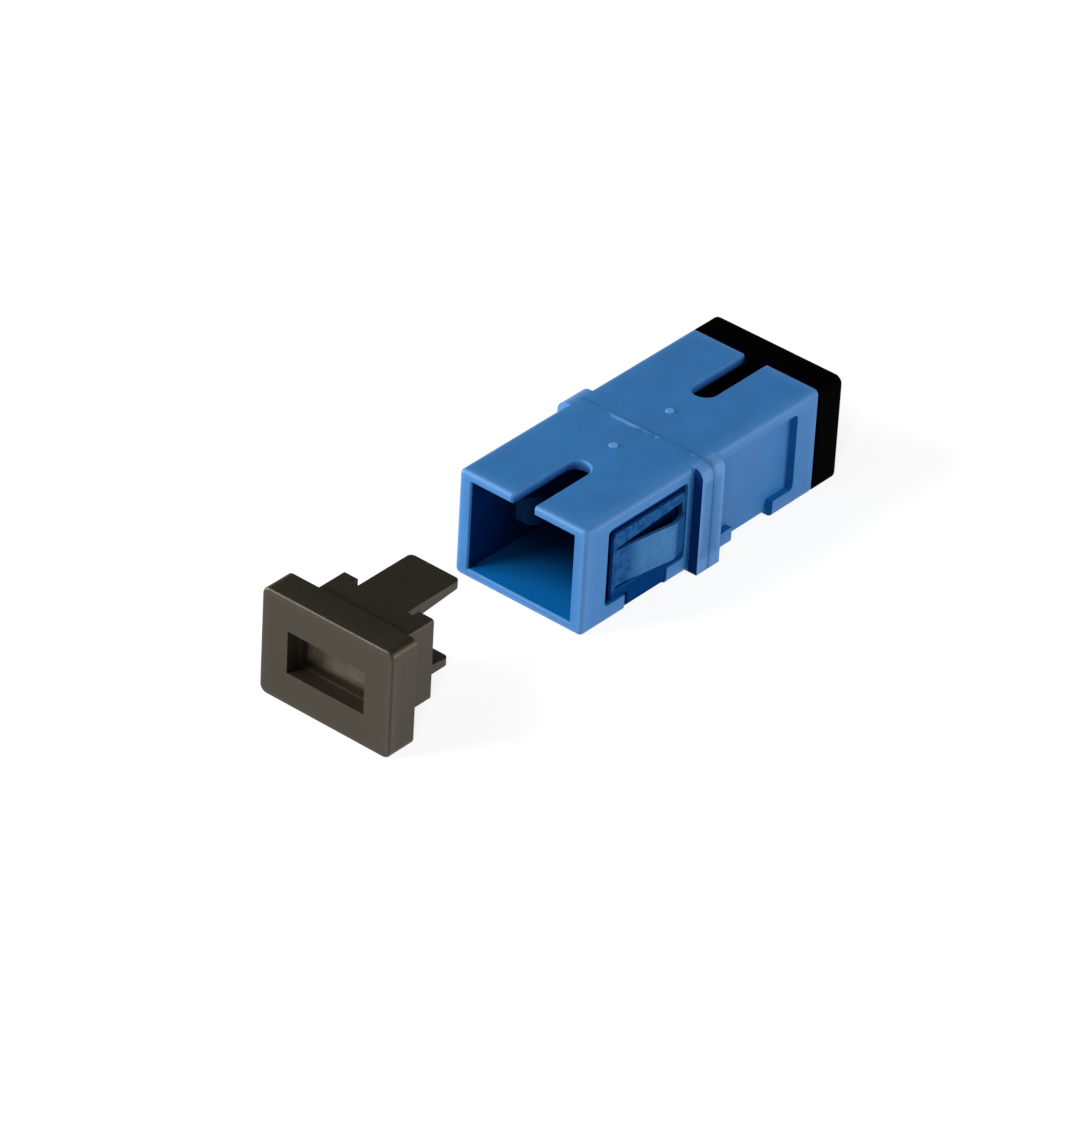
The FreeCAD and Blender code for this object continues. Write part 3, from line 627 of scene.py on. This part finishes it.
def clip_material(colours, details):
    """Coated spring sheet: rolling lines along the strip, and a painted highlight on the crest of the
    tongues.

    Painted shade makes it darker on the flat plates, on the turned-in ends and below the tongues, where the
    strap turns under the housing, and darkest on the sheared edges of the sheet.
    """
    material, paint = new_paint("clip_blue")
    vector, parts = paint.place()
    across = abs(parts[0])
    rolled = paint.noise(paint.scaled(vector, (1.0, 0.35, 7.0)), 1.0, 5.0, 0.6)
    cloud = paint.noise(vector, 0.8, 3.0, 0.6)
    blotch = paint.noise(vector, 1.6, 4.0, 0.7)
    # Painted highlight on the crest of the tongues.
    painted_light = across.ramp(SIDE, TONGUE_PEAK) * paint.noise(vector, 2.6, 4.0, 0.7).ramp(0.35, 0.75)
    within = across.ramp(PLATE_FACE - 0.02, PLATE_FACE - 0.12)
    # Painted shade on the sheared edges of the sheet.
    edge_shade = within * parts[2].ramp(PLATE_FOOT - 0.47, PLATE_FOOT - 0.07)
    # Painted shade on the turned-in ends.
    turned = parts[1].ramp(TONGUE_CREST - 0.4, TONGUE_CREST + 0.7) * across.ramp(SIDE, SIDE + 0.1)
    # Painted shade: the flat plate drawn darker than the tongue.
    sheet = across.ramp(PLATE_FACE + 0.32, PLATE_FACE + 0.01)
    # Painted shade below the tongues.
    under = parts[2].ramp(TONGUE_FOOT, TONGUE_FOOT - 0.6)
    body = paint.mix(cloud.ramp(0.3, 0.7), tinted(colours.clip, 0.86), tinted(colours.clip, 1.04))
    body = paint.coats(body, (
        (rolled.ramp(0.45, 0.75) * 0.35, tinted(colours.clip, 1.15, 0.01)),
        (painted_light * 0.5, tinted(colours.clip, 1.2, 0.05)),
        (edge_shade * 0.9, rgba(colours.painted_shade)),
        (turned * 0.9, rgba(colours.sheet)),
        (sheet * (0.50 + 0.50 * blotch.ramp(0.40, 0.60)), rgba(colours.sheet)),
        (under * 0.85, rgba(colours.under)),
    ))
    rough = 0.34 + (rolled - 0.5) * 0.22 + (cloud - 0.5) * 0.12 - painted_light * 0.08
    normal = paint.bump(details.grain_depth * 0.6, rolled + cloud * 0.5)
    coating = {"Metallic": 0.12, "IOR": 1.5, "Specular IOR Level": 0.18}
    finish_surface(paint, body, rough, normal, coating, under.most(turned).most(edge_shade).most(sheet * 0.9))
    return material


def sleeve_material(colours, details):
    """Ground and polished ceramic: faint rings from grinding and a slight cream cloud."""
    material, paint = new_paint("sleeve_ceramic")
    vector, _ = paint.place()
    rings = paint.noise(paint.scaled(vector, (0.3, 9.0, 0.3)), 1.0, 3.0, 0.5)
    cloud = paint.noise(vector, 1.2, 2.0, 0.5)
    body = paint.mix(cloud.ramp(0.3, 0.7), tinted(colours.sleeve, 0.95), tinted(colours.sleeve, 1.04))
    rough = 0.14 + (rings - 0.5) * 0.10
    normal = paint.bump(details.grain_depth * 0.2, rings)
    finish_surface(paint, body, rough, normal, {"IOR": 2.1})
    return material


def flash_material(colours, details):
    """Weld flash: the housing's plastic with paler torn streaks, fading to the housing's blue where thin."""
    material, paint = new_paint("weld_flash_blue")
    vector, parts = paint.place()
    torn = paint.noise(paint.scaled(vector, (4.0, 1.2, 4.0)), 1.0, 4.0, 0.7)
    plain = tinted(colours.housing, 1.2, 0.03)
    streak = tinted(colours.housing, 1.35, 0.10)
    thin = (parts[2] - TOP).ramp(0.075, 0.02)
    body = paint.mix(torn.ramp(0.20, 0.55), plain, streak)
    body = paint.mix(thin * 0.85, body, rgba(colours.housing))
    rough = 0.36 + (torn - 0.5) * 0.2
    normal = paint.bump(details.grain_depth * 0.5, torn)
    finish_surface(paint, body, rough, normal, PLASTIC)
    return material


def seen(rays):
    """1 for a ray of the camera, of a reflection or through clear matter, 0 for one that carries light."""
    return rays.out("Is Camera Ray").most(rays.out("Is Glossy Ray")).most(rays.out("Is Transmission Ray"))


def floor_material(settings):
    """Matt pale floor that looks near white to the camera and keeps the shadow on it."""
    material, paint = new_paint("studio_floor")
    matt = paint.node("ShaderNodeBsdfDiffuse", None, {"Color": rgba(settings.floor), "Roughness": 0.6})
    pale = paint.node("ShaderNodeBsdfDiffuse", None, {"Color": rgba(settings.floor_seen), "Roughness": 0.6})
    glow = paint.node("ShaderNodeEmission", None, {"Color": rgba(1.0), "Strength": settings.floor_lift})
    lifted = paint.node("ShaderNodeAddShader", None, {0: pale.out(0), 1: glow.out(0)})
    rays = paint.node("ShaderNodeLightPath")
    both = paint.node("ShaderNodeMixShader", None, {0: seen(rays), 1: matt.out(0), 2: lifted.out(0)})
    paint.node("ShaderNodeOutputMaterial", None, {"Surface": both.out(0)})
    return material


def dress(node, material):
    """Gives a CAD node its material."""
    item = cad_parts[node]
    if not item.material_slots:
        item.data.materials.append(material)
    for slot in item.material_slots:
        slot.material = material


# ---------------------------------------------------------------- meshes

def grid_mesh(name, points, material, closed_round=False):
    """Mesh object from a grid of points; with closed_round its columns join up and its ends are capped."""
    rows, columns = points.shape[:2]
    index = np.arange(rows * columns).reshape(rows, columns)
    if closed_round:
        right = np.roll(index, -1, axis=1)
        corners = [index[:-1], index[1:], right[1:], right[:-1]]
    else:
        corners = [index[:-1, :-1], index[1:, :-1], index[1:, 1:], index[:-1, 1:]]
    faces = np.stack(corners, axis=-1).reshape(-1, 4)
    mesh = bpy.data.meshes.new(name)
    caps = [index[0].tolist(), index[-1][::-1].tolist()] if closed_round else []
    mesh.from_pydata(points.reshape(-1, 3).tolist(), [], faces.tolist() + caps)
    mesh.polygons.foreach_set("use_smooth", [True] * len(mesh.polygons))
    mesh.materials.append(material)
    mesh.update()
    item = bpy.data.objects.new(name, mesh)
    bpy.context.scene.collection.objects.link(item)
    return item


def ripple(along, seed, count, shortest, longest):
    """Smooth random line between -1 and 1: a sum of sine waves whose lengths and phases are seeded."""
    source = np.random.default_rng(seed)
    lengths = source.uniform(shortest, longest, count)[:, None]
    phases = source.uniform(0, 2 * np.pi, count)[:, None]
    return np.sin(2 * np.pi * along[None, :] / lengths + phases).mean(axis=0)


def flash_points(details):
    """Weld flash on the top: a half-lens carried across the housing along the weld.

    At share u of the way across, the section is x = across(u), y = middle(u) + w(u) cos a and
    z = top - foot + h(u) sin a, with a from 0 to a full turn flattened below. The height h is a sum of
    bell curves where the melt was squeezed out, times a ripple, and the width w follows it. The middle
    wanders about the weld and leans to the front where the flash is high.
    """
    steps = details.flash_steps
    reach = SIDE * MM - FLASH_END_GAP * MM
    across = np.linspace(-reach, reach, steps)
    swell = np.zeros(steps)
    for middle, spread, share in FLASH_SWELLS:
        swell = swell + share * np.exp(-((across / MM - middle) / spread) ** 2)
    broken = 0.72 + 0.28 * ripple(across / MM, SEAM_SEED, 7, 0.9, 3.0)
    fade = np.clip((reach - np.abs(across)) / (FLASH_FADE * MM), 0, 1)
    amount = np.clip(swell * broken, 0.0, 1.0) * fade + 1e-3
    height = details.flash_height * amount
    width = details.flash_width / 2 * (0.35 + 0.65 * amount)
    wander = FLASH_WANDER * MM * ripple(across / MM, SEAM_SEED + 1, 6, 0.9, 3.5)
    middle = wander - FLASH_LEAN * MM * amount
    turn = np.linspace(0, 2 * np.pi, FLASH_SIDES, endpoint=False)
    lift = np.where(np.sin(turn) >= 0, np.sin(turn), np.sin(turn) * 0.6)
    points = np.empty((steps, turn.size, 3))
    points[..., 0] = across[:, None]
    points[..., 1] = middle[:, None] + width[:, None] * np.cos(turn)[None, :]
    points[..., 2] = HALF_HEIGHT - FLASH_SINK * MM + height[:, None] * lift[None, :]
    return points


# ---------------------------------------------------------------- operators

def settings_of(context):
    """The three groups of settings."""
    scene = context.scene
    return scene.fa_colours, scene.fa_details, scene.fa_stage


class FA_OT_housings(bpy.types.Operator):
    """Finish both housing halves"""

    bl_idname = "fibre_adapter.housings"
    bl_label = "Finish Housings"

    def execute(self, context):
        colours, details, _ = settings_of(context)
        material = housing_material(colours, details)
        for node in ("front_housing", "rear_housing"):
            dress(node, material)
        return {"FINISHED"}


class FA_OT_inserts(bpy.types.Operator):
    """Finish the latch inserts and the split sleeve"""

    bl_idname = "fibre_adapter.inserts"
    bl_label = "Finish Inserts and Sleeve"

    def execute(self, context):
        colours, details, _ = settings_of(context)
        material = insert_material(colours, details)
        for node in ("front_latch_insert", "rear_latch_insert"):
            dress(node, material)
        dress("split_sleeve", sleeve_material(colours, details))
        return {"FINISHED"}


class FA_OT_clip(bpy.types.Operator):
    """Finish the panel clip"""

    bl_idname = "fibre_adapter.clip"
    bl_label = "Finish Panel Clip"

    def execute(self, context):
        colours, details, _ = settings_of(context)
        dress("panel_clip", clip_material(colours, details))
        return {"FINISHED"}


class FA_OT_plugs(bpy.types.Operator):
    """Finish the two dust plugs"""

    bl_idname = "fibre_adapter.plugs"
    bl_label = "Finish Dust Plugs"

    def execute(self, context):
        colours, details, _ = settings_of(context)
        loose = plug_material("plug_brown", colours.brown_plug, PLUG_LOW, PLUG_HIGH, details, BROWN_PLUG)
        fitted = plug_material("plug_black", colours.black_plug, CAP_LOW, CAP_HIGH, details, BLACK_PLUG)
        dress("front_dust_plug", loose)
        dress("rear_dust_plug", fitted)
        return {"FINISHED"}


class FA_OT_weld_flash(bpy.types.Operator):
    """Add the plastic squeezed out along the weld"""

    bl_idname = "fibre_adapter.weld_flash"
    bl_label = "Add Weld Flash"

    def execute(self, context):
        colours, details, _ = settings_of(context)
        material = flash_material(colours, details)
        bead = grid_mesh("weld_flash", flash_points(details), material, closed_round=True)
        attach(bead, "adapter")
        return {"FINISHED"}


def add_lamp(name, place, target, width, height, power):
    """White area lamp at a place, facing a target."""
    data = bpy.data.lights.new(name, "AREA")
    data.shape = "RECTANGLE"
    data.size = width
    data.size_y = height
    data.energy = power
    lamp = bpy.data.objects.new(name, data)
    lamp.location = place
    lamp.rotation_euler = (Vector(target) - Vector(place)).to_track_quat("-Z", "Y").to_euler()
    bpy.context.scene.collection.objects.link(lamp)


def add_camera(stage):
    """Camera on a sphere round the aim point, rolled about its line of sight."""
    sine, cosine = math.sin(stage.azimuth), math.cos(stage.azimuth)
    rise, level = math.sin(stage.elevation), math.cos(stage.elevation)
    back = Vector((sine * level, -cosine * level, rise))
    right = Vector((cosine, sine, 0.0))
    up = back.cross(right)
    across = right * math.cos(stage.roll) + up * math.sin(stage.roll)
    upward = up * math.cos(stage.roll) - right * math.sin(stage.roll)
    data = bpy.data.cameras.new("camera")
    data.sensor_fit = "VERTICAL"
    data.sensor_height = FILM_HEIGHT
    data.lens = stage.lens
    data.clip_start = CAMERA_NEAR
    data.clip_end = CAMERA_FAR
    camera = bpy.data.objects.new("camera", data)
    turn = Matrix((across, upward, back)).transposed().to_4x4()
    camera.matrix_world = Matrix.Translation(Vector(stage.aim) + back * stage.distance) @ turn
    bpy.context.scene.collection.objects.link(camera)
    bpy.context.scene.camera = camera


def add_world(stage):
    """Even light all round, white where it is seen; reflections see the white darken overhead."""
    world = bpy.data.worlds.new("studio")
    world.use_nodes = True
    paint = Paint(world.node_tree)
    even = paint.node("ShaderNodeBackground", None, {"Color": rgba(1.0), "Strength": stage.sky})
    rays = paint.node("ShaderNodeLightPath")
    way = paint.node("ShaderNodeSeparateXYZ", None, {0: paint.node("ShaderNodeTexCoord").out("Generated")})
    ceiling = way.out(2).ramp(0.00, 0.36) * rays.out("Is Glossy Ray") * stage.ceiling
    white = paint.node("ShaderNodeBackground", None, {"Color": rgba(1.0), "Strength": 1.0 - ceiling})
    both = paint.node("ShaderNodeMixShader", None, {0: seen(rays), 1: even.out(0), 2: white.out(0)})
    paint.node("ShaderNodeOutputWorld", None, {"Surface": both.out(0)})
    bpy.context.scene.world = world


class FA_OT_stage(bpy.types.Operator):
    """Add the floor, the lamps, the camera and the world"""

    bl_idname = "fibre_adapter.stage"
    bl_label = "Add Stage"

    def execute(self, context):
        _, _, stage = settings_of(context)
        ends = np.array([-FLOOR_HALF, FLOOR_HALF])
        across, along = np.meshgrid(ends, ends)
        points = np.stack([across, along, np.full((2, 2), FLOOR_LEVEL)], axis=-1)
        floor = grid_mesh("floor", points, floor_material(stage))
        for name, place, target, width, height in LAMPS:
            add_lamp(name, place, target, width, height, getattr(stage, name))
        add_world(stage)
        add_camera(stage)
        context.scene.view_settings.view_transform = "Standard"
        return {"FINISHED"}


OPERATORS = (FA_OT_stage, FA_OT_housings, FA_OT_inserts, FA_OT_clip, FA_OT_plugs, FA_OT_weld_flash)


class FA_PT_panel(bpy.types.Panel):
    """Sidebar panel with the steps and their settings"""

    bl_idname = "FA_PT_panel"
    bl_label = "Fibre Adapter"
    bl_space_type = "VIEW_3D"
    bl_region_type = "UI"
    bl_category = "Fibre Adapter"

    def draw(self, context):
        for group in settings_of(context):
            box = self.layout.box()
            for name in group.bl_rna.properties.keys():
                if name not in ("rna_type", "name"):
                    box.prop(group, name)
        for operator in OPERATORS:
            self.layout.operator(operator.bl_idname)


GROUPS = (FA_PG_colours, FA_PG_details, FA_PG_stage)
CLASSES = GROUPS + OPERATORS + (FA_PT_panel,)


def register():
    """Registers the classes and hangs the settings on the scene."""
    for item in CLASSES:
        bpy.utils.register_class(item)
    bpy.types.Scene.fa_colours = PointerProperty(type=FA_PG_colours)
    bpy.types.Scene.fa_details = PointerProperty(type=FA_PG_details)
    bpy.types.Scene.fa_stage = PointerProperty(type=FA_PG_stage)


def unregister():
    """Takes the settings and the classes away again."""
    del bpy.types.Scene.fa_stage
    del bpy.types.Scene.fa_details
    del bpy.types.Scene.fa_colours
    for item in reversed(CLASSES):
        bpy.utils.unregister_class(item)


def main():
    """Runs every step in order."""
    register()
    for operator in OPERATORS:
        group, name = operator.bl_idname.split(".")
        getattr(getattr(bpy.ops, group), name)()


if __name__ == "__main__":
    main()
